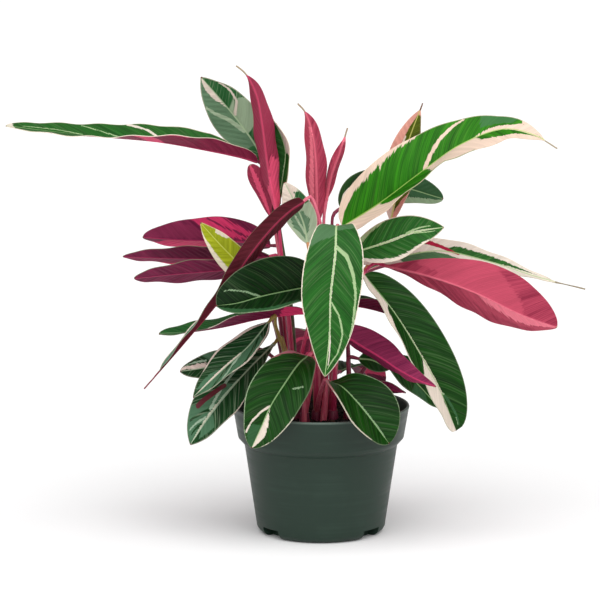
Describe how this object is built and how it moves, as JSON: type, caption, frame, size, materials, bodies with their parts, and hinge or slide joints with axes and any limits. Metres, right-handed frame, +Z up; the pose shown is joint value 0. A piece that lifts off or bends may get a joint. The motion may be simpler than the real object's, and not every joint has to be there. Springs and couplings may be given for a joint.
{
  "type": "potted prayer plant",
  "caption": "Bushy tricolour prayer plant with lance-shaped cream-streaked green leaves and maroon undersides, standing in a tapered plastic nursery pot of soil.",
  "frame": {"origin": "middle of the pot's underside, on the ground", "axes": "+Z up along the pot's axis, -Y towards the viewer of the picture, +X to the viewer's right"},
  "size_m": [0.5202, 0.223, 0.4254],
  "materials": {
    "pot_plastic": "moulded satin green polypropylene",
    "potting_soil": null,
    "stalk": null,
    "leaf_green": null,
    "leaf_variegated": null,
    "leaf_maroon": null,
    "leaf_pink": null,
    "leaf_yellow_green": null
  },
  "bodies": {
    "root": {"pot": "pot_plastic", "potting_soil": "potting_soil", "shoot_left_rear": "stalk", "shoot_centre": "stalk", "shoot_right_rear": "stalk", "shoot_left": "stalk", "shoot_left_front": "stalk", "shoot_front": "stalk", "shoot_right": "stalk", "shoot_right_low": "stalk", "shoot_back": "stalk", "leaf_01": "leaf_green", "leaf_02": "leaf_variegated", "leaf_03": "leaf_pink", "leaf_04": "leaf_green", "leaf_05": "leaf_pink", "leaf_06": "leaf_pink", "leaf_07": "leaf_maroon", "leaf_08": "leaf_maroon", "leaf_09": "leaf_maroon", "leaf_10": "leaf_maroon", "leaf_11": "leaf_yellow_green", "leaf_12": "leaf_green", "leaf_13": "leaf_green", "leaf_14": "leaf_variegated", "leaf_15": "leaf_green", "leaf_16": "leaf_variegated", "leaf_17": "leaf_pink", "leaf_18": "leaf_green", "leaf_19": "leaf_green", "leaf_20": "leaf_green", "leaf_21": "leaf_yellow_green", "leaf_22": "leaf_green", "leaf_23": "leaf_green", "leaf_24": "leaf_green", "leaf_25": "leaf_variegated", "leaf_26": "leaf_pink", "leaf_27": "leaf_green", "leaf_28": "leaf_maroon", "leaf_29": "leaf_green", "leaf_30": "leaf_green", "leaf_31": "leaf_green", "leaf_32": "leaf_maroon", "leaf_33": "leaf_green", "leaf_34": "leaf_variegated", "leaf_35": "leaf_green", "leaf_36": "leaf_variegated", "leaf_37": "leaf_green", "leaf_38": "leaf_variegated", "leaf_39": "leaf_variegated"}
  },
  "joints": []
}
